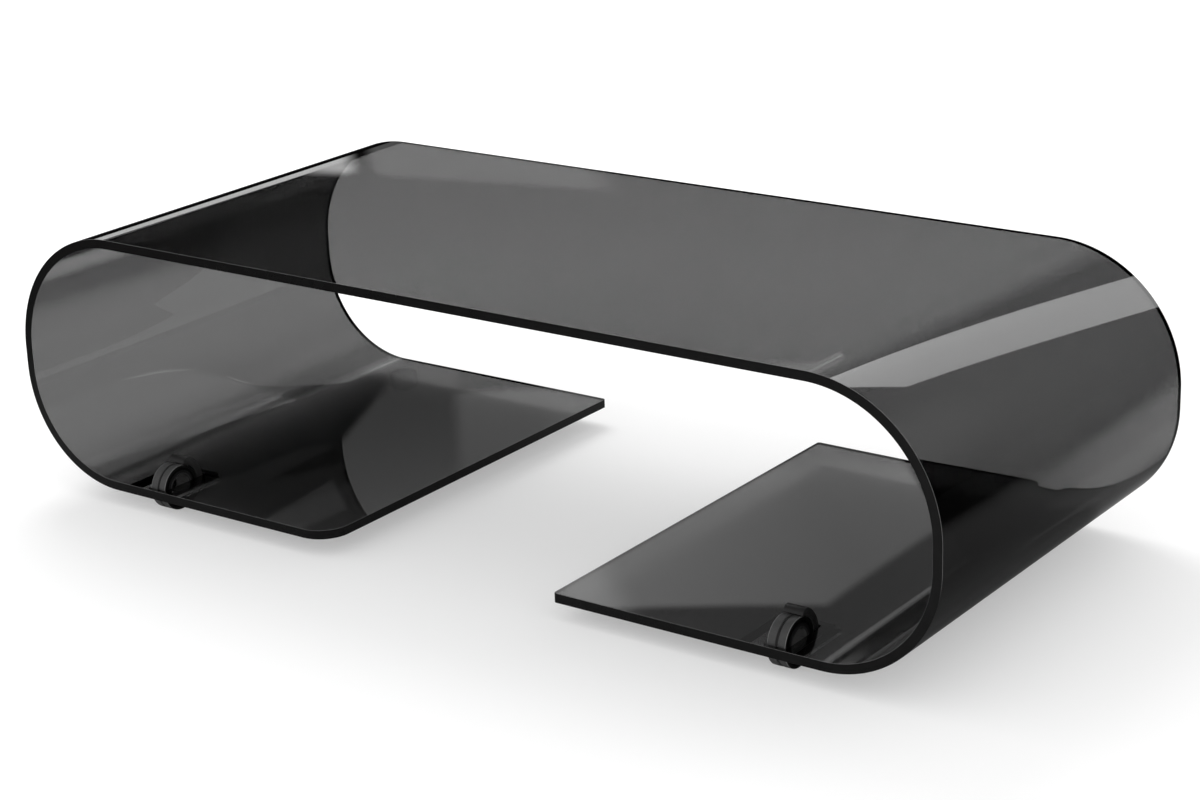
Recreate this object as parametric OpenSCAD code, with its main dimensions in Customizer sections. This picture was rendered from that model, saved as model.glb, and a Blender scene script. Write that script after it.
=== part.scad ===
// Waterfall coffee table: one bent pane of smoked glass on two fixed hollow-hub castors and two glides.
// The origin is on the floor under the middle of the table. X runs along the table, Y from front to back.

/* [Glass pane] */
// Length of the table over its two bent ends
table_length = 1380; // [1200:5:1600]
// Width of the pane from the front edge to the back edge
table_width = 600; // [500:5:800]
// Height of the bent pane alone, from the underside of the base plates to the top face
pane_height = 345; // [335:1:420]
// Thickness of the glass
glass_t = 12; // [10:1:15]
// Outer radius of the bend from the top into each end
top_bend_r = 170; // [120:1:175]
// Outer radius of the bend from each end into its base plate
low_bend_r = 150; // [120:1:155]
// Length of each base plate, from the end of the table to its free edge
base_length = 515; // [460:5:560]
// Radius of the large rounded corner at the front of the left base plate
nose_r = 40; // [10:1:60]
// Radius of the other corners of the base plates
corner_r = 4; // [1:0.5:10]
// Width of the polished arris along the long edges
arris = 1; // [0.3:0.1:1.5]

/* [Castor place] */
// Distance from the end of the table to the middle of the castor
castor_from_end = 214; // [190:1:320]
// Distance from the front edge to the castor's axle
castor_from_front = 40; // [39:1:90]

/* [Wheels] */
// Outside diameter of the wheels
wheel_d = 60; // [54:1:66]
// Width of the castor across both wheels
castor_w = 26; // [24:1:34]
// Diameter of the open hub that can be seen through
hub_bore_d = 33; // [26:1:33]
// Wall of the hollow axle tube
tube_wall = 3; // [2.5:0.1:3.5]
// Wall of the plain bush in each wheel
bush_wall = 1.5; // [1:0.1:2]
// Thickness of the tyre on its rim
tyre_t = 3.5; // [2.5:0.1:4]
// Radius of the tyre's shoulders
tyre_shoulder_r = 1.2; // [0.5:0.1:1.8]
// Radial clearance between the bush and the axle tube
running_gap = 0.05; // [0.02:0.01:0.09]
// Clearance beside a wheel, to the web and to the retaining ring
side_gap = 0.3; // [0.2:0.05:0.5]
// Distance of the wheel's outer face from the end of the axle tube
face_inset = 0.4; // [0.2:0.1:1]

/* [Castor body] */
// Thickness of the web between the two wheels
web_t = 2.4; // [2:0.1:3.5]
// Distance of the web's edge from the running face of the tyres
web_inset = 1.5; // [1:0.1:3]
// Radial thickness of the hood over the wheels
hood_t = 10; // [8:0.5:12]
// Clearance between the tyres and the hood
hood_gap = 1; // [0.6:0.1:2]
// Clock angle above the middle of the axle where the hood's upper end begins to round off
hood_top_angle = 62; // [50:1:72]
// Radius of the hood's rounded upper end
hood_end_r = 8.5; // [5:0.5:9]
// Clock angle of the hood's lower end below the middle of the axle
hood_low_angle = 38; // [32:1:42]
// Height of the open line where the two shells meet
seam_gap = 0.5; // [0.2:0.1:0.8]
// Depth of the open line where the two shells meet
seam_depth = 1; // [0.5:0.1:1.5]
// Width of the retaining ring's section across the face
retainer_w = 4.8; // [4:0.1:5.5]
// Thickness of the retaining ring along the axle
retainer_t = 1; // [0.8:0.1:1.5]
// Depth of the groove that the retaining ring snaps into
groove_depth = 1.4; // [0.8:0.1:1.8]
// Width of the tube's end beyond the groove
groove_land = 0.5; // [0.4:0.1:1]
// Chamfer at each end of the see-through hub
hub_chamfer = 1; // [0.5:0.1:1.4]

/* [Mounting plate and foot] */
// Clearance between the castor and the glass round it in the slot
slot_gap = 3; // [2:0.5:4]
// Corner radius of the slot in the glass
slot_r = 4; // [3.2:0.1:6]
// Clearance between the castor and the mounting plate round it
way_gap = 1; // [0.6:0.1:2]
// Corner radius of the way through the mounting plate
way_r = 2; // [1:0.5:4]
// Thickness of the bond between glass and metal
bond_t = 0.5; // [0.3:0.1:1]
// Thickness of the mounting plate under the glass
plate_t = 4; // [3:0.5:5]
// Margin of the mounting plate beside the slot
plate_margin = 8.5; // [8.5:0.5:13.5]
// Length of the mounting plate behind the slot
plate_tail = 16.5; // [14.5:0.5:23.5]
// Distance that the plate's arms reach in front of the axle
arm_reach = 14; // [10:0.5:24]
// Thickness of the lower shell's foot
foot_t = 4; // [3.5:0.5:6]
// Clearance between the tyres and the bridge of the foot
bridge_gap = 2; // [1.5:0.5:3]
// Corner radius of the mounting plate
plate_corner_r = 3; // [1:0.5:5]
// Distance of the foot's edge from the edge of the mounting plate
foot_inset = 1.5; // [0.5:0.5:2]

/* [Fasteners] */
// Shank diameter of the screws that join the two shells
shell_screw_d = 3; // [2.5:0.5:3]
// Length of those screws under the head
shell_screw_length = 20; // [16:1:22]
// Height of the seat of those screws below the seam
shell_screw_seat = 9; // [7:0.5:10]
// Distance between those two screws
shell_screw_spacing = 15; // [12:0.5:16]
// Shank diameter of the screws that hold the foot
foot_screw_d = 4; // [3:0.5:4]
// Distance of the front foot screws' shanks from the front edge of the foot
foot_screw_edge = 4; // [3.5:0.5:5]
// Distance of the rear foot screws from the tail of the plate
foot_screw_tail = 9; // [7:0.5:10]

/* [Glides] */
// Diameter of the turned glide disc
glide_d = 40; // [30:1:50]
// Distance from the end of the table to the middle of the glide
glide_from_end = 182; // [180:1:320]
// Distance from the back edge to the middle of the glide
glide_from_back = 45; // [30:1:90]
// Thickness of the soft pad under the glide
glide_pad_t = 3; // [2:0.5:5]
// Distance of the pad's edge from the edge of the disc
glide_pad_inset = 2; // [1:0.5:4]
// Chamfer on both edges of the disc
glide_chamfer = 1; // [0.5:0.1:1.5]

/* [Hidden] */
CASTOR_PIECES = [
    "castor_mount_plate", "castor_mount_bond", "castor_upper_shell", "castor_lower_shell",
    "castor_shell_screws", "castor_foot_screws", "castor_inner_retainer", "castor_outer_retainer",
    "inner_wheel_rim", "inner_wheel_tyre", "inner_wheel_bush",
    "outer_wheel_rim", "outer_wheel_tyre", "outer_wheel_bush"
];
GLIDE_PIECES = ["glide_disc", "glide_bond", "glide_pad"];
SIDES = ["left", "right"];
$fn = 64;
turned_fn = 96;
bend_fn = 128;

// Heights: the axle lies in the middle plane of the glass, and the wheels stand on the floor.
wheel_r = wheel_d / 2;
axle_z = wheel_r;
pane_z = axle_z - glass_t / 2;
pane_top_z = pane_z + pane_height;

// Places along and across the table
castor_x = table_length / 2 - castor_from_end;
castor_y = castor_from_front - table_width / 2;
glide_x = table_length / 2 - glide_from_end;
glide_y = table_width / 2 - glide_from_back;
free_edge_x = table_length / 2 - base_length;

// Radii about the axle
bore_r = hub_bore_d / 2;
tube_r = bore_r + tube_wall;
bush_in_r = tube_r + running_gap;
bush_r = bush_in_r + bush_wall;
rim_r = wheel_r - tyre_t;
web_r = wheel_r - web_inset;
hood_in_r = wheel_r + hood_gap;
hood_r = hood_in_r + hood_t;
groove_r = tube_r - groove_depth;
retainer_r = groove_r + retainer_w;

// Proportions of the screws, over the shank: diameter of the head, width and depth of the hexagon socket
cap_head_ratio = 1.84;
cap_socket_ratio = 0.83;
cap_socket_depth_ratio = 0.5;
countersunk_head_ratio = 1.8;
countersunk_socket_ratio = 0.62;
countersunk_socket_depth_ratio = 0.4;

// Stations along the axle, from the middle of the castor
tube_end = castor_w / 2;
wheel_in = web_t / 2 + side_gap;
wheel_out = tube_end - face_inset;
retainer_out = tube_end - groove_land;
retainer_in = retainer_out - retainer_t;
bush_out = retainer_in - side_gap;

// Slot and mounting plate, measured from the axle
slot_x = tube_end + slot_gap;
slot_front = wheel_r + slot_gap;
slot_back = hood_r + slot_gap;
way_x = tube_end + way_gap;
way_front = wheel_r + way_gap;
way_back = hood_r + way_gap;
plate_x = slot_x + plate_margin;
plate_back = slot_back + plate_tail;
plate_top = -glass_t / 2 - bond_t;
plate_bottom = plate_top - plate_t;
foot_bottom = plate_bottom - foot_t;
foot_x = plate_x - foot_inset;
foot_front = -arm_reach + foot_inset;
foot_back = plate_back - foot_inset;
bridge_front = wheel_r + bridge_gap;
screw_play = 0.1;
shell_screw_y = (hood_in_r + hood_r) / 2;
shell_screw_head_r = cap_head_ratio * shell_screw_d / 2;
shell_screw_head_h = shell_screw_d;
foot_screw_x = (way_x + foot_x) / 2;
foot_screw_front_y = foot_front + foot_screw_edge + foot_screw_d / 2;
foot_screw_back_y = plate_back - foot_screw_tail;
foot_screw_head_r = countersunk_head_ratio * foot_screw_d / 2;
foot_screw_head_h = foot_screw_head_r - foot_screw_d / 2;
foot_screw_length = plate_top - foot_bottom;
glide_disc_h = pane_z - bond_t - glide_pad_t;
past = 1;

// Turn a drawing in the Y and Z directions into a slab of width w across the axle
module across(w) rotate([90, 0, 90]) linear_extrude(height = w, center = true) children();

// Turn a section drawn as radius and station into a body of revolution about the axle
module about_axle(angle = 360) {
    rotate([0, 90, 0]) rotate([0, 0, 90]) rotate_extrude(angle = angle, $fn = turned_fn) children();
}

module ring(inner, outer) {
    difference() {
        circle(r = outer);
        circle(r = inner);
    }
}

// Everything between two clock angles less than half a turn apart
module sector(from, to) {
    far = 4 * hood_r;
    mid = (from + to) / 2;
    polygon([[0, 0], [far * cos(from), far * sin(from)], [far * cos(mid), far * sin(mid)],
             [far * cos(to), far * sin(to)]]);
}

module rounded_box_outline(x0, x1, y0, y1, r) {
    translate([x0 + r, y0]) square([x1 - x0 - 2 * r, y1 - y0]);
    translate([x0, y0 + r]) square([x1 - x0, y1 - y0 - 2 * r]);
    for (x = [x0 + r, x1 - r], y = [y0 + r, y1 - r]) translate([x, y]) circle(r = r);
}

// Cross-section of the pane: its width along the second axis, its thickness along the first, ending at edge
module pane_section(edge) {
    half = table_width / 2;
    inner = edge - glass_t;
    polygon([
        [inner, -half + arris], [inner + arris, -half], [edge - arris, -half], [edge, -half + arris],
        [edge, half - arris], [edge - arris, half], [inner + arris, half], [inner, half - arris]
    ]);
}

// A quarter bend of outer radius r, from pointing along X up to pointing along Z
module quarter_bend(r) rotate([90, 0, 0]) rotate_extrude(angle = 90, $fn = bend_fn) pane_section(r);

// A flat stretch of the pane between two stations along X, with its upper face at z = 0
module flat_pane(from, to) {
    translate([from, 0, 0]) rotate([0, 90, 0]) linear_extrude(height = to - from) pane_section(glass_t);
}

// One end of the pane: upper bend, short upright and lower bend, at the positive end of X
module bent_end() {
    half = table_length / 2;
    translate([half - top_bend_r, 0, pane_top_z - top_bend_r]) quarter_bend(top_bend_r);
    translate([half - low_bend_r, 0, pane_z + low_bend_r]) mirror([0, 0, 1]) quarter_bend(low_bend_r);
    translate([half, 0, pane_z + low_bend_r]) linear_extrude(height = pane_height - top_bend_r - low_bend_r)
        pane_section(0);
}

// What a rounded corner takes off: the corner lies at the origin and the material towards +X and +Y
module corner_waste(r) {
    difference() {
        translate([-past, -past]) square(r + past);
        translate([r, r]) circle(r = r);
    }
}

module base_plate(side, front_r, back_r) {
    mirror([side < 0 ? 1 : 0, 0, 0]) difference() {
        translate([0, 0, pane_z + glass_t]) flat_pane(free_edge_x, table_length / 2 - low_bend_r);
        translate([0, 0, pane_z - past]) linear_extrude(height = glass_t + 2 * past) {
            translate([free_edge_x, -table_width / 2]) corner_waste(front_r);
            translate([free_edge_x, table_width / 2]) mirror([0, 1]) corner_waste(back_r);
            translate([castor_x, castor_y]) slot_outline();
        }
    }
}

module bent_glass() {
    color([0.12, 0.12, 0.12, 0.6]) {
        translate([0, 0, pane_top_z]) flat_pane(top_bend_r - table_length / 2, table_length / 2 - top_bend_r);
        bent_end();
        mirror([1, 0, 0]) bent_end();
        base_plate(-1, nose_r, corner_r);
        base_plate(1, corner_r, corner_r);
    }
}

module slot_outline() rounded_box_outline(-slot_x, slot_x, -slot_front, slot_back, slot_r);

module way_outline() rounded_box_outline(-way_x, way_x, -way_front, way_back, way_r);

module plate_outline() rounded_box_outline(-plate_x, plate_x, -arm_reach, plate_back, plate_corner_r);

// Plan of the four screws of the foot
module at_foot_screws() {
    for (x = [-foot_screw_x, foot_screw_x], y = [foot_screw_front_y, foot_screw_back_y])
        translate([x, y, 0]) children();
}

module at_shell_screws() {
    for (x = [-1, 1]) translate([x * shell_screw_spacing / 2, shell_screw_y, 0]) children();
}

// Flange under the glass, open to the front, with the way for the castor in it
module castor_mount_plate() {
    color([0.08, 0.08, 0.085]) difference() {
        translate([0, 0, plate_bottom]) linear_extrude(height = plate_t) plate_outline();
        translate([0, 0, plate_bottom - past]) {
            linear_extrude(height = plate_t + 2 * past) way_outline();
            at_foot_screws() cylinder(d = foot_screw_d, h = plate_t + 2 * past);
        }
    }
}

// Bond between the flange and the glass, up to the edge of the slot
module castor_mount_bond() {
    color([0.05, 0.05, 0.05]) translate([0, 0, plate_top]) linear_extrude(height = bond_t)
        difference() {
            plate_outline();
            slot_outline();
        }
}

// Half of the hollow axle, with the groove for a retaining ring near each end
module axle_half() {
    about_axle(180) difference() {
        polygon([
            [bore_r, -tube_end + hub_chamfer], [bore_r + hub_chamfer, -tube_end], [tube_r, -tube_end],
            [tube_r, tube_end], [bore_r + hub_chamfer, tube_end], [bore_r, tube_end - hub_chamfer]
        ]);
        for (s = [-1, 1]) translate([groove_r, s * (retainer_in + retainer_out) / 2 - retainer_t / 2])
            square([groove_depth + past, retainer_t]);
    }
}

// Hood over the wheels up to a clock angle, with its outer corner rounded off past it where end_r is given
module hood_outline(angle, end_r) {
    difference() {
        union() {
            intersection() {
                circle(r = hood_r);
                sector(0, angle);
            }
            if (end_r > 0) rotate(angle) translate([hood_r - end_r, 0]) circle(r = end_r);
        }
        circle(r = hood_in_r);
    }
}

// Web and hood of one shell, above the seam, up to a clock angle
module web_and_hood(angle, end_r) {
    across(web_t) {
        intersection() {
            ring(tube_r - tube_wall / 2, web_r);
            translate([-wheel_r, 0]) square([2 * wheel_r, wheel_r]);
        }
        intersection() {
            ring(tube_r, hood_in_r + hood_t / 2);
            sector(0, angle);
        }
    }
    across(castor_w) hood_outline(angle, end_r);
}

// The open line round the hood and along the hub where the shells meet, taken half from each shell
module seam_waste() {
    h = seam_gap / 2;
    difference() {
        translate([-castor_w, hood_in_r - past, 0]) cube([2 * castor_w, hood_t + 2 * past, h]);
        translate([-castor_w / 2 + seam_depth, hood_in_r - past, -past])
            cube([castor_w - 2 * seam_depth, hood_t + past - seam_depth, h + 2 * past]);
    }
    for (y = [-bore_r - seam_depth / 2, bore_r - seam_depth / 2])
        translate([-castor_w, y, 0]) cube([2 * castor_w, seam_depth, h]);
}

module castor_upper_shell() {
    color([0.06, 0.06, 0.065]) difference() {
        union() {
            axle_half();
            web_and_hood(hood_top_angle, hood_end_r);
        }
        seam_waste();
        at_shell_screws() translate([0, 0, -past])
            cylinder(d = shell_screw_d, h = shell_screw_length - shell_screw_seat + past);
    }
}

// Two arms beside the wheels and a bridge behind them, which lie against the mounting plate
module foot() {
    translate([0, 0, foot_bottom]) linear_extrude(height = foot_t) {
        for (s = [-1, 1]) {
            x0 = s < 0 ? -foot_x : way_x;
            translate([x0, foot_front]) square([foot_x - way_x, foot_back - foot_front]);
        }
        translate([-foot_x, bridge_front]) square([2 * foot_x, foot_back - bridge_front]);
    }
}

module castor_lower_shell() {
    color([0.06, 0.06, 0.065]) difference() {
        union() {
            mirror([0, 0, 1]) axle_half();
            mirror([0, 0, 1]) web_and_hood(hood_low_angle, 0);
            foot();
        }
        mirror([0, 0, 1]) seam_waste();
        at_shell_screws() {
            translate([0, 0, past - hood_r]) cylinder(d = shell_screw_d + 2 * screw_play, h = hood_r);
            translate([0, 0, -shell_screw_seat - hood_r])
                cylinder(r = shell_screw_head_r + screw_play, h = hood_r);
        }
        at_foot_screws() translate([0, 0, foot_bottom]) {
            translate([0, 0, -past]) cylinder(d = foot_screw_d + 2 * screw_play, h = foot_t + 2 * past);
            cylinder(r1 = foot_screw_head_r, r2 = foot_screw_d / 2, h = foot_screw_head_h);
        }
    }
}

module hex_recess(across_flats, depth) {
    translate([0, 0, -past]) cylinder(d = across_flats / cos(30), h = depth + past, $fn = 6);
}

module castor_shell_screws() {
    color([0.3, 0.3, 0.31]) at_shell_screws() translate([0, 0, -shell_screw_seat]) difference() {
        union() {
            cylinder(d = shell_screw_d, h = shell_screw_length);
            translate([0, 0, -shell_screw_head_h]) cylinder(r = shell_screw_head_r, h = shell_screw_head_h);
        }
        translate([0, 0, -shell_screw_head_h])
            hex_recess(cap_socket_ratio * shell_screw_d, cap_socket_depth_ratio * shell_screw_d);
    }
}

module castor_foot_screws() {
    color([0.3, 0.3, 0.31]) at_foot_screws() translate([0, 0, foot_bottom]) difference() {
        union() {
            cylinder(d = foot_screw_d, h = foot_screw_length);
            cylinder(r1 = foot_screw_head_r, r2 = foot_screw_d / 2, h = foot_screw_head_h);
        }
        hex_recess(countersunk_socket_ratio * foot_screw_d, countersunk_socket_depth_ratio * foot_screw_d);
    }
}

// Pieces of one wheel lie on the positive side of the axle; the other wheel is their mirror image
module wheel_rim() {
    color([0.05, 0.05, 0.05]) about_axle() difference() {
        translate([bush_r, wheel_in]) square([rim_r - bush_r, wheel_out - wheel_in]);
        translate([bush_r - past, bush_out]) square([retainer_r + side_gap - bush_r + past, castor_w]);
    }
}

module wheel_tyre() {
    r = tyre_shoulder_r;
    color([0.035, 0.035, 0.035]) about_axle() {
        translate([rim_r, wheel_in]) square([tyre_t - r, wheel_out - wheel_in]);
        translate([rim_r, wheel_in + r]) square([tyre_t, wheel_out - wheel_in - 2 * r]);
        for (x = [wheel_in + r, wheel_out - r]) translate([wheel_r - r, x]) circle(r = r);
    }
}

module wheel_bush() {
    color([0.75, 0.74, 0.7]) about_axle()
        translate([bush_in_r, wheel_in]) square([bush_wall, bush_out - wheel_in]);
}

module retainer() {
    color([0.04, 0.04, 0.04]) about_axle()
        translate([groove_r, retainer_in]) square([retainer_w, retainer_t]);
}

module glide_bond() {
    color([0.8, 0.8, 0.8, 0.5]) translate([0, 0, pane_z - bond_t])
        cylinder(d = glide_d - 2 * glide_chamfer, h = bond_t);
}

module glide_disc() {
    r = glide_d / 2;
    color([0.85, 0.86, 0.87, 0.5]) translate([0, 0, glide_pad_t]) rotate_extrude($fn = turned_fn) polygon([
        [0, 0], [r - glide_chamfer, 0], [r, glide_chamfer], [r, glide_disc_h - glide_chamfer],
        [r - glide_chamfer, glide_disc_h], [0, glide_disc_h]
    ]);
}

module glide_pad() color([0.8, 0.8, 0.78, 0.6]) cylinder(d = glide_d - 2 * glide_pad_inset, h = glide_pad_t);

// The outer wheel is the one towards the end of the table
module castor_piece(piece) {
    if (piece == "castor_mount_plate") castor_mount_plate();
    if (piece == "castor_mount_bond") castor_mount_bond();
    if (piece == "castor_upper_shell") castor_upper_shell();
    if (piece == "castor_lower_shell") castor_lower_shell();
    if (piece == "castor_shell_screws") castor_shell_screws();
    if (piece == "castor_foot_screws") castor_foot_screws();
    if (piece == "castor_outer_retainer") retainer();
    if (piece == "castor_inner_retainer") mirror([1, 0, 0]) retainer();
    if (piece == "outer_wheel_rim") wheel_rim();
    if (piece == "inner_wheel_rim") mirror([1, 0, 0]) wheel_rim();
    if (piece == "outer_wheel_tyre") wheel_tyre();
    if (piece == "inner_wheel_tyre") mirror([1, 0, 0]) wheel_tyre();
    if (piece == "outer_wheel_bush") wheel_bush();
    if (piece == "inner_wheel_bush") mirror([1, 0, 0]) wheel_bush();
}

module glide_piece(piece) {
    if (piece == "glide_disc") glide_disc();
    if (piece == "glide_bond") glide_bond();
    if (piece == "glide_pad") glide_pad();
}

// Pieces are drawn for the right-hand end and mirrored to the left
module on_side(side) mirror([side == "left" ? 1 : 0, 0, 0]) children();

bent_glass();
for (side = SIDES, piece = CASTOR_PIECES)
    on_side(side) translate([castor_x, castor_y, axle_z]) castor_piece(piece);
for (side = SIDES, piece = GLIDE_PIECES)
    on_side(side) translate([glide_x, glide_y, 0]) glide_piece(piece);
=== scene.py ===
import math

import bmesh
import bpy
from mathutils import Matrix, Vector


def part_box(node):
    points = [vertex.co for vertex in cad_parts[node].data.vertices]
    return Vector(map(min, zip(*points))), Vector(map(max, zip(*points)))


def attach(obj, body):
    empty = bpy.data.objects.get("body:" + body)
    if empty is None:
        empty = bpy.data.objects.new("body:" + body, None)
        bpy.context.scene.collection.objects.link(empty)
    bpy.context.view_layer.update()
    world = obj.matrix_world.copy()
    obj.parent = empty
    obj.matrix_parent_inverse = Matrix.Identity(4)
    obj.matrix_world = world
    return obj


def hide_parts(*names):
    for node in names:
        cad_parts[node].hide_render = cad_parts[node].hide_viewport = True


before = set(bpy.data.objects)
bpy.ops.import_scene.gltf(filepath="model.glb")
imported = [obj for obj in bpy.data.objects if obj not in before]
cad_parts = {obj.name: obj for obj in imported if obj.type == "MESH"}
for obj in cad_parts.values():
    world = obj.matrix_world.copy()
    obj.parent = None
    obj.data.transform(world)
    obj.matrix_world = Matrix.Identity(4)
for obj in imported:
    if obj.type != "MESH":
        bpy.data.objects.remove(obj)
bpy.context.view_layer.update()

# Camera: a long lens a little over three metres away, looking down on the front left of the table, with
# the slight roll that the photograph shows.
view_target = Vector((0.0336, 0.0, 0.1607))
view_distance = 3.438
view_yaw = math.radians(36.1)
view_pitch = math.radians(19.04)
view_roll = math.radians(-1.9)
lens_mm = 81.1

camera_data = bpy.data.cameras.new("studio_camera")
camera_data.lens = lens_mm
camera_data.sensor_width = 36
camera_data.clip_end = 200
camera = bpy.data.objects.new("studio_camera", camera_data)
bpy.context.collection.objects.link(camera)
bpy.context.scene.camera = camera
camera.matrix_world = (
    Matrix.Translation(view_target)
    @ Matrix.Rotation(view_yaw, 4, "Z")
    @ Matrix.Rotation(math.radians(90) - view_pitch, 4, "X")
    @ Matrix.Rotation(view_roll, 4, "Z")
    @ Matrix.Translation((0, 0, view_distance))
)
bpy.context.scene.view_settings.view_transform = "Standard"


# Studio: a white room. What is seen straight on or through the glass is plain white. What the glass mirrors
# is a dark wall with a white horizon, a pale band low on it, a bright strip and a soft ceiling.
class Socket:
    """An output of a shader node. Arithmetic on it adds Math nodes to its tree."""

    def __init__(self, tree, output=None):
        self.tree = tree
        self.output = output

    def node(self, kind, settings=None, sockets=None, output=0):
        """Add a node of a kind: first its settings, then the values or links of its sockets."""
        made = self.tree.nodes.new(kind)
        for name, setting in (settings or {}).items():
            if name == "stops":
                ramp = made.color_ramp
                while len(ramp.elements) > 1:
                    ramp.elements.remove(ramp.elements[-1])
                for count, (place, grey) in enumerate(setting):
                    stop = ramp.elements.new(place) if count else ramp.elements[0]
                    stop.position = place
                    stop.color = (grey, grey, grey, 1) if isinstance(grey, (int, float)) else (*grey, 1)
            else:
                setattr(made, name, setting)
        for name, given in (sockets or {}).items():
            if isinstance(given, Socket):
                self.tree.links.new(given.output, made.inputs[name])
            else:
                made.inputs[name].default_value = given
        return Socket(self.tree, made.outputs[output] if len(made.outputs) else None)

    def math(self, operation, first, second=None):
        sockets = {0: first} if second is None else {0: first, 1: second}
        return self.node("ShaderNodeMath", {"operation": operation}, sockets)

    def __add__(self, other):
        return self.math("ADD", self, other)

    def __radd__(self, other):
        return self.math("ADD", other, self)

    def __sub__(self, other):
        return self.math("SUBTRACT", self, other)

    def __rsub__(self, other):
        return self.math("SUBTRACT", other, self)

    def __mul__(self, other):
        return self.math("MULTIPLY", self, other)

    def __rmul__(self, other):
        return self.math("MULTIPLY", other, self)

    def __truediv__(self, other):
        return self.math("DIVIDE", self, other)

    def __pow__(self, other):
        return self.math("POWER", self, other)

    def __gt__(self, other):
        return self.math("GREATER_THAN", self, other)


def clear_tree(owner):
    """Give a world, a lamp or a material an empty node tree."""
    owner.use_nodes = True
    owner.node_tree.nodes.clear()
    return Socket(owner.node_tree)


def rises(value, place, blur):
    """A soft step: 0 below a place, 1 above it."""
    limits = {0: value, 1: place - blur, 2: place + blur}
    return value.node("ShaderNodeMapRange", {"interpolation_type": "SMOOTHSTEP"}, limits)


def falls(value, place, blur):
    """A soft step: 1 below a place, 0 above it."""
    return 1 - rises(value, place, blur)


def greys(amount, first, second):
    """Mix two greys, each a number or the output of a node."""
    mixed = [(grey, grey, grey, 1) if isinstance(grey, (int, float)) else grey for grey in (first, second)]
    return amount.node("ShaderNodeMix", {"data_type": "RGBA"}, {0: amount, 6: mixed[0], 7: mixed[1]}, 2)


world = bpy.data.worlds.new("white_studio")
world.cycles.sampling_method = "NONE"
bpy.context.scene.world = world
sky = clear_tree(world)
direction = sky.node("ShaderNodeTexCoord", output="Generated")
parts = sky.node("ShaderNodeSeparateXYZ", sockets={0: direction}).output.node.outputs
x, y, z = (Socket(sky.tree, parts[name]) for name in "XYZ")
degree = math.degrees(1)
elevation = sky.math("ARCSINE", z) * degree
azimuth = sky.math("ARCTAN2", 0 - x, y) * degree
roll = sky.math("ARCTAN2", x, z) * degree

# Horizon: white beside the left bend, with a faint rest of it over the back of the top.
horizon_grey = 1.15
horizon_low = 4.6
horizon_high = 12.9
horizon_slope = 17
horizon_y = 0.69
bend_roll = -70
bend_end_y = 0.729
rest_share = 0.15
rest_y = 0.7345
rest_end_y = 0.785
rest_roll = -40
beside_bend = falls(roll, bend_roll, 0.2) * falls(y, bend_end_y, 0.003)
rest = rest_share * rises(y, rest_y, 0.002) * falls(y, rest_end_y, 0.005) * falls(roll, rest_roll, 10)
horizon_edge = elevation - horizon_slope * (y - horizon_y)
horizon = rises(elevation, horizon_low, 0.4) * falls(horizon_edge, horizon_high, 0.15) * (beside_bend + rest)

# Band: pale and low on the wall, as the base plates mirror it. It is dimmer low down and toward its left end.
band_low = 18.75
band_high = 23.45
band_bow = 55
band_bow_y = 0.786
band_end_y = 0.8172
plate_grey = 0.64
plate_least = 0.49
plate_fall = 5.1
plate_y = 0.768
plate_step = 20.5
tip_grey = 0.32
tip_azimuth = 37.2
before_end = falls(y, band_end_y, 0.0006)
band_top = rises(elevation + band_bow * sky.math("MAXIMUM", y - band_bow_y, 0.0), band_high, 0.1)
band = rises(elevation, band_low, 0.12) * (1 - band_top) * before_end
plate_level = sky.math("MAXIMUM", plate_grey - plate_fall * (y - plate_y), plate_least)
plate_level = plate_level * (0.5 + 0.5 * rises(elevation, plate_step, 0.3))
left_level = plate_level + rises(azimuth, tip_azimuth, 0.4) * (tip_grey - plate_level)

# Left of the band: a dim patch with a slanting lower edge, and a bright horn at its far end.
behind_grey = 0.085
behind_gain = 0.065
behind_middle = 18.2
behind_low = 17.8
behind_edge_place = 19.4
behind_slope = 66
behind_y = 0.7044
behind_most_y = -0.004
behind_azimuth = 39.3
behind_end_y = 0.745
behind_end_roll = -58.9
horn_grey = 0.65
horn_slope = 15
horn_y = 0.6755
horn_roll = -61.1
horn_end_roll = -59.9
horn_start_y = 0.674
horn_end_y = 0.6945
behind_edge = elevation + behind_slope * sky.math("MAXIMUM", y - behind_y, behind_most_y)
behind = behind_grey + behind_gain * (elevation - behind_middle)
behind = behind * rises(behind_edge, behind_edge_place, 0.12) * rises(elevation, behind_low, 0.3)
horn = rises(roll + horn_slope * (y - horn_y), horn_roll, 0.12) * falls(roll, horn_end_roll, 0.15)
horn = horn * rises(y, horn_start_y, 0.002) * falls(y, horn_end_y, 0.001)
behind = (behind + horn * horn_grey) * (1 - band_top)
behind = behind * falls(y, behind_end_y, 0.002) * falls(roll, behind_end_roll, 0.2)
past_tip = rises(azimuth, behind_azimuth, 0.2)

# Over the band: one dim line. Like the band, it stays on the left side of the room.
front_grey = 0.18
front_high = 24.6
front_y = 0.735
left_side_roll = 20
left_side = falls(roll, left_side_roll, 10)
plates = (band * left_level * (1 - past_tip) + behind * past_tip) * left_side
front = band_top * falls(elevation, front_high, 0.4) * rises(y, front_y, 0.004) * before_end * left_side

# Strip: a long bright lamp, bowed as the right bend mirrors it.
strip_light = 2.1
strip_bow = 950
strip_bow_y = 0.845
strip_curve = 6400
strip_curve_y = 0.847
strip_start = -11
strip_end = 22
strip_low_y = 0.8228
strip_lean = 0.00044
bow = roll - strip_bow * (y - strip_bow_y) - strip_curve * (y - strip_curve_y) ** 2
strip = rises(bow, strip_start, 0.5) * falls(bow, strip_end, 0.5)
strip = strip * rises(y - strip_lean * roll, strip_low_y, 0.0004)

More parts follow.
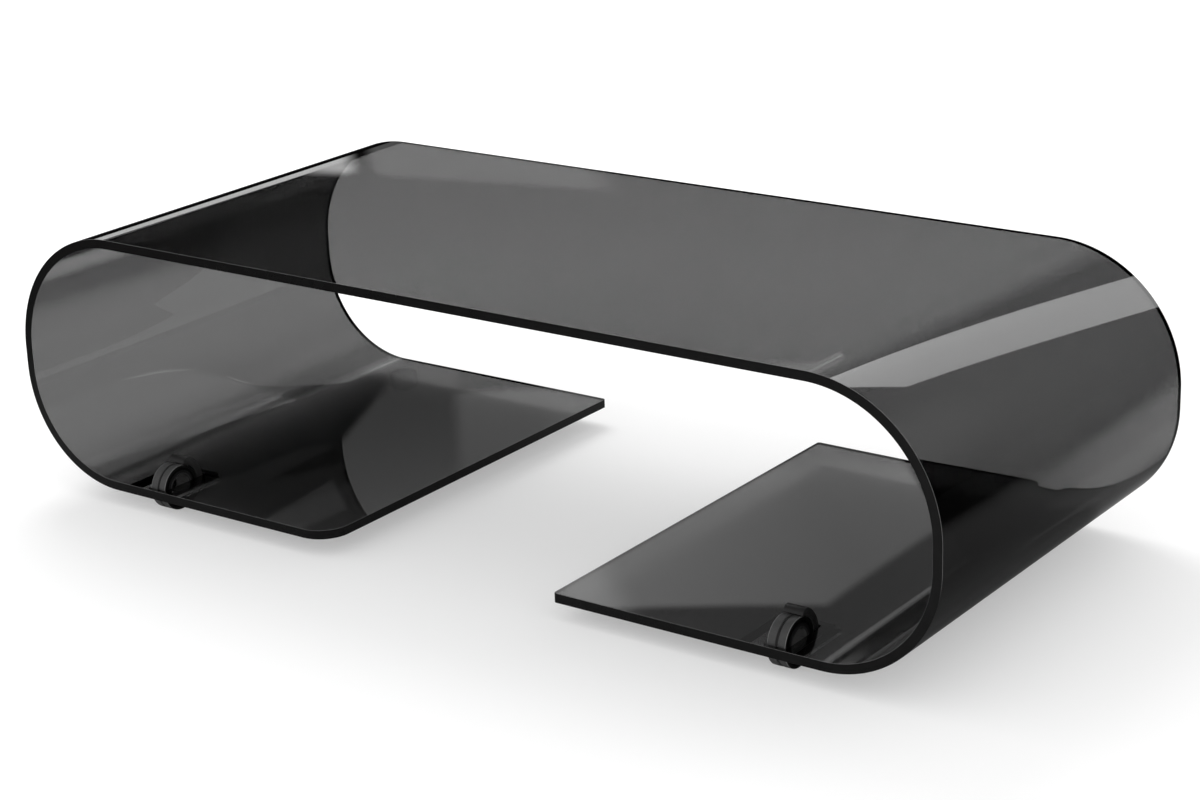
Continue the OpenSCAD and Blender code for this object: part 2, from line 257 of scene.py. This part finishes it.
# Ceiling: the soft light that the left wall mirrors. It ends in a curved line low on the left, where the left
# base plate begins to mirror the dark, and it is far dimmer on that side than overhead.
ceiling_light = 4.9
ceiling_side = 0.4
ceiling_slope = 330
ceiling_curve = 4000
ceiling_y = 0.638
ceiling_start = -25.7
ceiling_roll = -59.3
ceiling_end_y = 0.745
side_roll = 12
under_top_curve = 980000
under_top_y = 0.645
under_top_roll = 60
ceiling_edge = roll + ceiling_slope * (y - ceiling_y) + ceiling_curve * (y - ceiling_y) ** 2
ceiling = rises(ceiling_edge, ceiling_start, 0.3) * rises(roll, ceiling_roll, 0.2)
ceiling = ceiling * falls(y, ceiling_end_y, 0.005)
under_top = roll + under_top_curve * (y - under_top_y) * (y - under_top_y) * (y - under_top_y)
ceiling_level = ceiling_side * falls(roll, side_roll, 20)
ceiling_level = ceiling_level + ceiling_light * falls(under_top, under_top_roll, 6)

# The room in front of the table is simpler, with two pale rings, and what is mirrored twice sees one grey.
dark_grey = 0.004
again_grey = 0.12
photo_side_y = 0.57
zenith = 90
room = dark_grey + horizon * horizon_grey + plates + front * front_grey
room = room + strip * strip_light + ceiling * ceiling_level
room_stops = [
    (0.0, 0.6), (8 / zenith, 0.6), (13 / zenith, 0.012), (27 / zenith, 0.012), (29 / zenith, 0.7),
    (33 / zenith, 0.7), (36 / zenith, 0.012), (60 / zenith, 0.02), (80 / zenith, 0.15),
]
elsewhere = sky.node("ShaderNodeValToRGB", {"stops": room_stops}, {0: elevation / zenith})
room = greys(rises(y, photo_side_y, 0.03), elsewhere, room)
soft_stops = [(0.0, 1.475), (30 / zenith, 1.23), (60 / zenith, 0.94)]
soft = sky.node("ShaderNodeValToRGB", {"stops": soft_stops}, {0: elevation / zenith})
path = sky.node("ShaderNodeLightPath").output.node.outputs
diffuse_ray, glossy_depth = (Socket(sky.tree, path[name]) for name in ("Is Diffuse Ray", "Glossy Depth"))
seen = greys(glossy_depth > 0.5, 1.0, room)
seen = greys(glossy_depth > 1.5, seen, again_grey)
seen = greys(diffuse_ray, seen, soft)
light_of_room = sky.node("ShaderNodeBackground", sockets={"Color": seen, "Strength": 1.0})
sky.node("ShaderNodeOutputWorld", sockets={"Surface": light_of_room})

# Floor: one wide sheet of matt white paper. The camera sees it a little lifted, as in a bright studio,
# but not through the glass, and as a mirror image it is a grey sheet that ends in the dark, with painted
# shade on its right side.
floor_size = 60
floor_lift = 0.35
paper_grey = 0.98
sheet_grey = 0.30
sheet_r = 1.25
right_mirror_shade = 0.20
right_shade_place = 0.60
least_grey = 0.01
white = (1, 1, 1, 1)

bpy.ops.object.select_all(action="DESELECT")
bpy.ops.mesh.primitive_plane_add(size=floor_size)
floor = bpy.context.object
floor.name = "studio_floor"
paper = bpy.data.materials.new("floor_paper")
floor.data.materials.append(paper)
sheet = clear_tree(paper)
path = sheet.node("ShaderNodeLightPath").output.node.outputs
camera_ray, glossy_depth = (Socket(sheet.tree, path[name]) for name in ("Is Camera Ray", "Glossy Depth"))
place = sheet.node("ShaderNodeTexCoord", output="Object")
from_middle = sheet.node("ShaderNodeVectorMath", {"operation": "LENGTH"}, {0: place}, "Value")
across = sheet.node("ShaderNodeSeparateXYZ", sockets={0: place}, output="X")
# Painted shade: the mirrored sheet is darker toward the right.
mirrored_grey = sheet_grey - right_mirror_shade * rises(across, right_shade_place, 0.10)
mirrored_grey = mirrored_grey * falls(from_middle, sheet_r, 0.25)
colour = greys(glossy_depth > 0.5, paper_grey, mirrored_grey + least_grey)
matt = sheet.node("ShaderNodeBsdfDiffuse", sockets={"Color": colour})
glow = sheet.node("ShaderNodeEmission", sockets={"Color": white, "Strength": 1.0})
shade = sheet.node("ShaderNodeMixShader", sockets={0: camera_ray * floor_lift, 1: matt, 2: glow})
sheet.node("ShaderNodeOutputMaterial", sockets={"Surface": shade})

# Lamp: one large soft lamp behind the table's left end, which draws the soft shadows to the front right.
key = bpy.data.lights.new("key_lamp", "AREA")
key.shape = "DISK"
key.size = 2.5
key.energy = 66
key_lamp = bpy.data.objects.new("key_lamp", key)
bpy.context.collection.objects.link(key_lamp)
key_lamp.location = (-2.2, 1.9, 3.2)
key_lamp.rotation_euler = (Vector((0, 0, 0)) - key_lamp.location).to_track_quat("-Z", "Y").to_euler()
key_lamp.visible_glossy = False


# Bent glass: one pane of smoked grey float glass, 12 mm thick, heated and slumped over moulds into a long
# C. Its edges are ground and polished, with a small arris, and each base plate has a slot for a castor.
pane_low, pane_high = (Vector(corner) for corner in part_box("bent_glass"))
glass_t = 0.012
top_bend_r = 0.170
low_bend_r = 0.150
base_length = 0.515
nose_r = 0.040
corner_r = 0.004
arris = 0.001
bend_steps = 56
nearby = 1e-4
squarely = 0.9
slot_half = 0.016
slot_front = 0.033
slot_back = 0.044
slot_r = 0.004
half_length = pane_high.x
half_width = pane_high.y
free_edge_x = half_length - base_length
hub_low, hub_high = (Vector(corner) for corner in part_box("right_castor_upper_shell"))
castor_x = (hub_low.x + hub_high.x) / 2
castor_y = -0.260
axle_z = 0.030


def edit_only(piece):
    """Put one piece alone into edit mode, with nothing of it selected."""
    if bpy.context.mode != "OBJECT":
        bpy.ops.object.mode_set(mode="OBJECT")
    bpy.ops.object.select_all(action="DESELECT")
    piece.select_set(True)
    bpy.context.view_layer.objects.active = piece
    bpy.ops.object.mode_set(mode="EDIT")
    bpy.ops.mesh.select_all(action="DESELECT")


def object_mode():
    bpy.ops.object.mode_set(mode="OBJECT")


def choose(piece, kind, test):
    """Select the vertices, edges or faces of the piece in edit mode that pass a test."""
    bpy.ops.mesh.select_mode(type=kind)
    bpy.ops.mesh.select_all(action="DESELECT")
    shape = bmesh.from_edit_mesh(piece.data)
    for part in {"VERT": shape.verts, "EDGE": shape.edges, "FACE": shape.faces}[kind]:
        if test(part):
            part.select_set(True)
    bmesh.update_edit_mesh(piece.data)


def middle(edge):
    return (edge.verts[0].co + edge.verts[1].co) / 2


def run_on(shift):
    """Draw the selected end face out along a straight line."""
    bpy.ops.mesh.extrude_region_move(TRANSFORM_OT_translate={"value": shift})


def bend_round(x, z):
    """Draw the selected end face a quarter round an axis along Y."""
    bpy.ops.mesh.spin(steps=bend_steps, angle=math.radians(90), center=(x, 0, z), axis=(0, -1, 0))


bpy.ops.object.select_all(action="DESELECT")
plate_middle = (-free_edge_x, 0, pane_low.z + glass_t / 2)
bpy.ops.mesh.primitive_plane_add(size=1, location=plate_middle, rotation=(0, math.radians(90), 0))
pane = bpy.context.object
pane.name = "smoked_pane"
bpy.ops.object.transform_apply(location=True, rotation=True, scale=True)
edit_only(pane)
bpy.ops.mesh.select_all(action="SELECT")
bpy.ops.transform.resize(value=(1, 2 * half_width, glass_t), center_override=plate_middle)
top_x = half_length - top_bend_r
low_x = half_length - low_bend_r
top_z = pane_high.z - top_bend_r
low_z = pane_low.z + low_bend_r
run_on((free_edge_x - low_x, 0, 0))
bend_round(-low_x, low_z)
run_on((0, 0, top_z - low_z))
bend_round(-top_x, top_z)
run_on((2 * top_x, 0, 0))
bend_round(top_x, top_z)
run_on((0, 0, low_z - top_z))
bend_round(low_x, low_z)
run_on((free_edge_x - low_x, 0, 0))


def on_corner(side, end):
    """A test for the upright edge at one corner of a base plate."""
    def test(edge):
        along = edge.verts[0].co - edge.verts[1].co
        place = middle(edge)
        near = abs(place.x - side * free_edge_x) < nearby and abs(place.y - end * half_width) < nearby
        return near and abs(along.z) > squarely * along.length
    return test


nose_steps = 14
corner_steps = 4
corners = [(side, end, corner_r, corner_steps) for side, end in ((-1, 1), (1, -1), (1, 1))]
for side, end, radius, steps in [(-1, -1, nose_r, nose_steps), *corners]:
    choose(pane, "EDGE", on_corner(side, end))
    bpy.ops.mesh.bevel(offset=radius, offset_type="OFFSET", segments=steps, affect="EDGES", profile=0.5)
bpy.ops.mesh.select_all(action="SELECT")
bpy.ops.mesh.normals_make_consistent(inside=False)
object_mode()


def cut_from(piece, cutter):
    """Take a cutter's shape out of a piece, and the cutter away."""
    bpy.ops.object.select_all(action="DESELECT")
    bpy.context.view_layer.objects.active = piece
    piece.select_set(True)
    cut = piece.modifiers.new("cut", "BOOLEAN")
    cut.operation = "DIFFERENCE"
    cut.solver = "EXACT"
    cut.object = cutter
    bpy.ops.object.modifier_apply(modifier=cut.name)
    bpy.data.objects.remove(cutter, do_unlink=True)


for side in (-1, 1):
    bpy.ops.object.select_all(action="DESELECT")
    slot_middle = (side * castor_x, castor_y + (slot_back - slot_front) / 2, pane_low.z + glass_t / 2)
    bpy.ops.mesh.primitive_cube_add(size=1, location=slot_middle)
    cutter = bpy.context.object
    cutter.scale = (2 * slot_half, slot_front + slot_back, 3 * glass_t)
    bpy.ops.object.transform_apply(location=True, rotation=True, scale=True)
    edit_only(cutter)
    choose(cutter, "EDGE", lambda edge: abs(edge.verts[0].co.z - edge.verts[1].co.z) > glass_t)
    bpy.ops.mesh.bevel(offset=slot_r, offset_type="OFFSET", segments=5, affect="EDGES", profile=0.5)
    object_mode()
    cut_from(pane, cutter)


# The glass round each castor is a lighter window, which starts as cuts in the plates' flat faces.
window_half = 0.042
edit_only(pane)
window_sides = [side * castor_x + end * window_half for side in (-1, 1) for end in (-1, 1)]
window_cuts = [((place, 0, 0), (1, 0, 0)) for place in window_sides]
for place, facing in [*window_cuts, ((0, castor_y + slot_back, 0), (0, 1, 0))]:
    choose(pane, "FACE", lambda face: abs(face.calc_center_median().z - plate_middle[2]) < glass_t
           and abs(face.normal.z) > squarely)
    bpy.ops.mesh.bisect(plane_co=place, plane_no=facing)
object_mode()


def noise(tree, scale, detail=2.0, roughness=0.5, stretch=(1, 1, 1)):
    """A noise in the piece's own place, with its scale in patches per metre."""
    place = tree.node("ShaderNodeTexCoord", output="Object")
    sized = tree.node("ShaderNodeMapping", sockets={"Vector": place, "Scale": stretch})
    sockets = {"Vector": sized, "Scale": scale, "Detail": detail, "Roughness": roughness}
    return tree.node("ShaderNodeTexNoise", sockets=sockets)


def bump(tree, height, distance):
    return tree.node("ShaderNodeBump", sockets={"Height": height, "Distance": distance})


def blend(tree, amount, first, second):
    """Mix two colours."""
    colours = {0: amount, 6: (*first, 1), 7: (*second, 1)}
    return tree.node("ShaderNodeMix", {"data_type": "RGBA"}, colours, 2)


def surface(name, make):
    """A material whose nodes are made by a function that returns the sockets of a Principled shader."""
    material = bpy.data.materials.new(name)
    tree = clear_tree(material)
    shader = tree.node("ShaderNodeBsdfPrincipled", sockets=make(tree))
    tree.node("ShaderNodeOutputMaterial", sockets={"Surface": shader})
    return material


def smoked_glass(tree):
    """Clear grey glass whose tint follows the viewing angle: painted light and shade, darkest at middling
    angles and near grazing, lightest just before grazing.
    """
    facing = tree.node("ShaderNodeLayerWeight", sockets={"Blend": 0.5}, output="Facing")
    # Painted light and shade: these stops set how bright the glass looks from each viewing angle.
    angle_shade_stops = [
        (0.0, 0.150), (0.38, 0.088), (0.46, 0.036), (0.57, 0.031), (0.60, 0.080), (0.64, 0.160),
        (0.72, 0.232), (0.78, 0.195), (0.84, 0.016),
    ]
    return {
        "Base Color": tree.node("ShaderNodeValToRGB", {"stops": angle_shade_stops}, {0: facing}),
        "Roughness": 0.0,
        "IOR": 1.5,
        "Transmission Weight": 1.0,
    }


def ground_arris(tree):
    """The narrow ground bevel, matt, with a painted highlight, pale, where it faces up and painted shade,
    black, where it faces down.
    """
    normal = tree.node("ShaderNodeNewGeometry", output="Normal")
    up_for_painted_light = tree.node("ShaderNodeSeparateXYZ", sockets={0: normal}, output="Z")
    grain = noise(tree, 900.0)
    return {
        # Painted light: the bevel is pale where it faces up and black where it faces down.
        "Base Color": greys(rises(up_for_painted_light, -0.1, 0.1), 0.006, 0.12 + 0.10 * grain),
        "Roughness": 0.45,
        "Specular IOR Level": 0.1,
    }


def polished_edge(tree):
    """The polished band round the pane, near black with the depth of glass behind it."""
    return {
        "Base Color": blend(tree, noise(tree, 60.0, 3.0), (0.004, 0.004, 0.004), (0.008, 0.008, 0.008)),
        "Roughness": 0.10 + 0.08 * noise(tree, 35.0, 3.0),
        "Specular IOR Level": 0.15,
    }


def slot_window(tree):
    """The glass round a castor: the wheels are seen straight through it, down to the floor."""
    haze = noise(tree, 40.0, 2.0)
    return {
        "Base Color": blend(tree, haze, (0.30, 0.30, 0.30), (0.33, 0.33, 0.33)),
        "Roughness": 0.0,
        "IOR": 1.0,
        "Transmission Weight": 1.0,
        "Coat Weight": 1.0,
        "Coat Roughness": 0.0,
        "Coat IOR": 1.5,
    }


for finish in (smoked_glass, polished_edge, ground_arris, slot_window):
    pane.data.materials.append(surface(finish.__name__, finish))


def is_edge_face(face):
    """True for the narrow faces round the pane and in its slots."""
    in_plate = face.center.z < pane_low.z + glass_t and abs(face.center.x) < low_x - arris
    along_front = abs(face.normal.y) > squarely and face.center.z > pane_low.z
    return along_front or in_plate and abs(face.normal.z) < 1 - squarely


def is_window_face(face):
    """True for the faces of the base plates near a castor and for the sides of its slot."""
    beside = abs(abs(face.center.x) - castor_x) < window_half and face.center.z < plate_middle[2] + glass_t
    return beside and arris - half_width < face.center.y < castor_y + slot_back + arris


for face in pane.data.polygons:
    face.material_index = 3 if is_window_face(face) else 1 if is_edge_face(face) else 0
bpy.ops.object.select_all(action="DESELECT")
pane.select_set(True)
bpy.context.view_layer.objects.active = pane
edge_cut = pane.modifiers.new("arris", "BEVEL")
edge_cut.width = arris
edge_cut.segments = 1
edge_cut.limit_method = "ANGLE"
edge_cut.angle_limit = math.radians(50)
edge_cut.material = 2
bpy.ops.object.modifier_apply(modifier=edge_cut.name)
bpy.ops.object.shade_smooth_by_angle(angle=math.radians(20))
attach(pane, "table")
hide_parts("bent_glass")

# Wheels: two on each castor. A moulded black core with a pressed-on tyre, which has a low crown and soft
# shoulders, and a plain bush that turns on the hollow axle.
turn_steps = 96
weld = 1e-6
core_chamfer = 0.0004
tyre_shoulder = 0.0012
recess_gap = 0.0003
ring_high = Vector(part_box("right_castor_outer_retainer")[1])
core_step_r = ring_high.z - axle_z + recess_gap
tyre_side = Vector(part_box("right_outer_wheel_tyre")[1]).x - castor_x


def section(name, low, high, axle):
    """Start a turned piece with its section above the axle: low and high are (station, radius)."""
    bpy.ops.object.select_all(action="DESELECT")
    middle_x, middle_r = (low[0] + high[0]) / 2, (low[1] + high[1]) / 2
    centre = (middle_x, axle.y, axle.z + middle_r)
    bpy.ops.mesh.primitive_plane_add(size=1, location=centre, rotation=(math.radians(90), 0, 0))
    piece = bpy.context.object
    piece.name = name
    bpy.ops.object.transform_apply(location=True, rotation=True, scale=True)
    edit_only(piece)
    bpy.ops.mesh.select_all(action="SELECT")
    bpy.ops.transform.resize(value=(abs(high[0] - low[0]), 1, high[1] - low[1]), center_override=centre)
    return piece


def round_corners(piece, radius, steps, test):
    choose(piece, "VERT", test)
    bpy.ops.mesh.bevel(offset=radius, offset_type="OFFSET", segments=steps, affect="VERTICES", profile=0.5)


def turn(piece, axle):
    """Turn the section in edit mode into a closed ring about the axle."""
    bpy.ops.mesh.select_mode(type="FACE")
    bpy.ops.mesh.select_all(action="SELECT")
    bpy.ops.mesh.dissolve_faces()
    bpy.ops.mesh.delete(type="ONLY_FACE")
    bpy.ops.mesh.select_all(action="SELECT")
    bpy.ops.mesh.spin(steps=turn_steps, angle=math.radians(360), center=tuple(axle), axis=(1, 0, 0))
    bpy.ops.mesh.select_all(action="SELECT")
    bpy.ops.mesh.remove_doubles(threshold=weld)
    bpy.ops.mesh.normals_make_consistent(inside=False)
    object_mode()
    bpy.ops.object.select_all(action="DESELECT")
    piece.select_set(True)
    bpy.context.view_layer.objects.active = piece
    bpy.ops.object.shade_smooth_by_angle(angle=math.radians(35))


def black_core(tree):
    wear = noise(tree, 250.0, 4.0, 0.6)
    return {
        "Base Color": blend(tree, wear, (0.001, 0.001, 0.001), (0.004, 0.004, 0.004)),
        "Roughness": 0.38 + 0.15 * wear,
        "Specular IOR Level": 0.1,
        "Normal": bump(tree, noise(tree, 2500.0, 2.0), 0.00002),
    }


def black_tyre(tree):
    """Polyurethane: black sides, a grey tread that is partly scuffing and partly painted sheen, and a painted
    highlight line where the tread meets its shoulders.
    """
    scuff = noise(tree, 180.0, 5.0, 0.65, (1, 3, 3))
    place = tree.node("ShaderNodeTexCoord", output="Object")
    across = tree.node("ShaderNodeSeparateXYZ", sockets={0: place}, output="X")
    from_middle = tree.math("ABSOLUTE", tree.math("ABSOLUTE", across) - castor_x)
    tread = falls(from_middle, tyre_side - tyre_shoulder / 2, 0.0003)
    painted_highlight_line = rises(from_middle, tyre_side - tyre_shoulder, 0.0003) * tread
    # The tread's grey is partly scuffing and partly painted sheen; the paler line at its shoulders is a
    # painted highlight.
    grey = (0.040 + 0.03 * scuff) * tread + 0.14 * painted_highlight_line + 0.002
    return {
        "Base Color": greys(grey, 0.0, 1.0),
        "Roughness": 0.25 + 0.2 * scuff,
        "Specular IOR Level": 0.3,
        "Normal": bump(tree, noise(tree, 1800.0, 2.0), 0.00003),
    }


def acetal(tree):
    rings = noise(tree, 900.0, 2.0, 0.5, (6, 1, 1))
    return {
        "Base Color": blend(tree, rings, (0.60, 0.59, 0.55), (0.72, 0.71, 0.67)),
        "Roughness": 0.35 + 0.1 * rings,
    }


core_material = surface("black_core", black_core)
tyre_material = surface("black_tyre", black_tyre)
bush_material = surface("acetal", acetal)


def paint(material, *nodes):
    """Give CAD nodes a material of the scene."""
    for node in nodes:
        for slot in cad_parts[node].material_slots:
            slot.material = material


for side in ("left", "right"):
    for wheel in ("inner", "outer"):
        body = f"{side}_{wheel}_wheel"
        low, high = (Vector(corner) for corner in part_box(body + "_tyre"))
        core_low, core_high = (Vector(corner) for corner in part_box(body + "_rim"))
        bush_low, bush_high = (Vector(corner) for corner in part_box(body + "_bush"))
        axle = (low + high) / 2
        outward = 1 if axle.x * (1 if wheel == "outer" else -1) > 0 else -1
        near, far = (low.x, high.x) if outward > 0 else (high.x, low.x)
        bush_far = bush_high.x if outward > 0 else bush_low.x
        core_r = (core_high.z - core_low.z) / 2
        bush_r = (bush_high.z - bush_low.z) / 2
        tyre_r = (high.z - low.z) / 2

        core = section(body + "_core", (near, bush_r), (bush_far, core_r), axle)
        bpy.ops.mesh.bisect(plane_co=(0, 0, axle.z + core_step_r), plane_no=(0, 0, 1))
        choose(core, "EDGE", lambda edge: all(abs(vert.co.x - bush_far) < nearby for vert in edge.verts)
               and middle(edge).z > axle.z + core_step_r)
        run_on((far - bush_far, 0, 0))
        bpy.ops.mesh.select_mode(type="FACE")
        bpy.ops.mesh.select_all(action="SELECT")
        bpy.ops.mesh.dissolve_faces()
        round_corners(core, core_chamfer, 2, lambda vert: abs(vert.co.x - far) < nearby)
        turn(core, axle)
        core.data.materials.append(core_material)
        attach(core, body)
        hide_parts(body + "_rim")

        tyre = section(body + "_tread", (near, core_r), (far, tyre_r), axle)
        round_corners(tyre, tyre_shoulder, 5, lambda vert: vert.co.z > axle.z + core_r + nearby)
        turn(tyre, axle)
        tyre.data.materials.append(tyre_material)
        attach(tyre, body)
        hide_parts(body + "_tyre")
        paint(bush_material, body + "_bush")

# Castor bodies: two moulded shells of glass-filled nylon that carry the hollow axle, the web between the
# wheels and the hood over them. They meet in an open line at mid height and are held by two screws.
shell_round = 0.0005
bore_r = 0.0165


def softened(node, name):
    """A copy of a CAD node with its sharp edges rounded."""
    if bpy.context.mode != "OBJECT":
        object_mode()
    copy = bpy.data.objects.new(name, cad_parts[node].data.copy())
    copy.data.materials.clear()
    bpy.context.collection.objects.link(copy)
    edit_only(copy)
    bpy.ops.mesh.select_all(action="SELECT")
    bpy.ops.mesh.remove_doubles(threshold=weld)
    bpy.ops.mesh.dissolve_limited(angle_limit=math.radians(0.5))
    object_mode()
    rounding = copy.modifiers.new("rounding", "BEVEL")
    rounding.width = shell_round
    rounding.segments = 2
    rounding.limit_method = "ANGLE"
    rounding.angle_limit = math.radians(40)
    bpy.ops.object.modifier_apply(modifier=rounding.name)
    bpy.ops.object.shade_smooth_by_angle(angle=math.radians(35))
    return copy


def black_nylon(tree):
    """Moulded nylon, greyer in the open bore of the axle: painted light that stands in for the light seen
    through the bore.
    """
    grain = noise(tree, 1500.0, 3.0, 0.6)
    cloud = noise(tree, 120.0, 2.0)
    place = tree.node("ShaderNodeTexCoord", output="Object")
    axle = (0, castor_y, axle_z)
    from_axle = tree.node("ShaderNodeVectorMath", {"operation": "SUBTRACT"}, {0: place, 1: axle})
    upright = tree.node("ShaderNodeVectorMath", {"operation": "MULTIPLY"}, {0: from_axle, 1: (0, 1, 1)})
    radius = tree.node("ShaderNodeVectorMath", {"operation": "LENGTH"}, {0: upright}, "Value")
    # Painted light: the bore is made grey where light would show through it.
    painted_bore_light = 0.06 * falls(radius, bore_r + 0.0003, 0.0002)
    return {
        "Base Color": greys(0.012 + 0.014 * cloud + painted_bore_light, 0.0, 1.0),
        "Roughness": 0.26 + 0.16 * cloud,
        "Normal": bump(tree, grain, 0.00003),
    }


shell_material = surface("black_nylon", black_nylon)
for side in ("left", "right"):
    for half in ("upper", "lower"):
        node = f"{side}_castor_{half}_shell"
        shell = softened(node, f"{side}_castor_{half}_body")
        shell.data.materials.append(shell_material)
        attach(shell, "table")
        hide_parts(node)

# Mounting plates: flat U-shaped aluminium, anodised black, each bonded under a base plate with a thin black
# layer. The castor's foot is screwed to it from below.
def anodised_plate(tree):
    grain = noise(tree, 700.0, 4.0, 0.6, (1, 12, 1))
    return {
        "Base Color": blend(tree, grain, (0.010, 0.010, 0.010), (0.022, 0.022, 0.023)),
        "Metallic": 0.6,
        "Roughness": 0.38 + 0.12 * grain,
        "Normal": bump(tree, grain, 0.00001),
    }


def black_sealant(tree):
    pores = noise(tree, 500.0, 3.0, 0.6)
    return {
        "Base Color": blend(tree, pores, (0.006, 0.006, 0.006), (0.014, 0.014, 0.014)),
        "Roughness": 0.55 + 0.2 * pores,
        "Normal": bump(tree, pores, 0.00004),
    }


plate_material = surface("black_anodised", anodised_plate)
sealant_material = surface("black_sealant", black_sealant)
for side in ("left", "right"):
    paint(plate_material, f"{side}_castor_mount_plate")
    paint(sealant_material, f"{side}_castor_mount_bond")


# Screws and rings: blackened steel screws with hexagon sockets, and sprung steel rings that keep the wheels
# on their axle. All are bought parts.
def blackened_steel(tree):
    oxide = noise(tree, 600.0, 4.0, 0.6)
    return {
        "Base Color": blend(tree, oxide, (0.020, 0.020, 0.022), (0.050, 0.050, 0.053)),
        "Metallic": 0.85,
        "Roughness": 0.32 + 0.16 * oxide,
    }


def spring_steel(tree):
    oxide = noise(tree, 800.0, 3.0, 0.6)
    return {
        "Base Color": blend(tree, oxide, (0.006, 0.006, 0.006), (0.014, 0.014, 0.015)),
        "Roughness": 0.40 + 0.12 * oxide,
        "Specular IOR Level": 0.2,
    }


screw_material = surface("blackened_steel", blackened_steel)
ring_material = surface("spring_steel", spring_steel)
for side in ("left", "right"):
    paint(screw_material, f"{side}_castor_shell_screws", f"{side}_castor_foot_screws")
    paint(ring_material, f"{side}_castor_inner_retainer", f"{side}_castor_outer_retainer")


# Glides: clear turned discs with soft clear pads, each held under the back of a base plate by a clear bond.
# They hardly show through the glass, so they are made nearly invisible by alpha.
def clear_plastic(tree):
    haze = noise(tree, 90.0, 2.0)
    return {
        "Base Color": blend(tree, haze, (0.20, 0.20, 0.20), (0.30, 0.30, 0.30)),
        "Roughness": 0.08,
        "Alpha": 0.03 + 0.04 * haze,
    }


clear_material = surface("clear_plastic", clear_plastic)
for side in ("left", "right"):
    paint(clear_material, *(f"{side}_glide_{piece}" for piece in ("disc", "bond", "pad")))
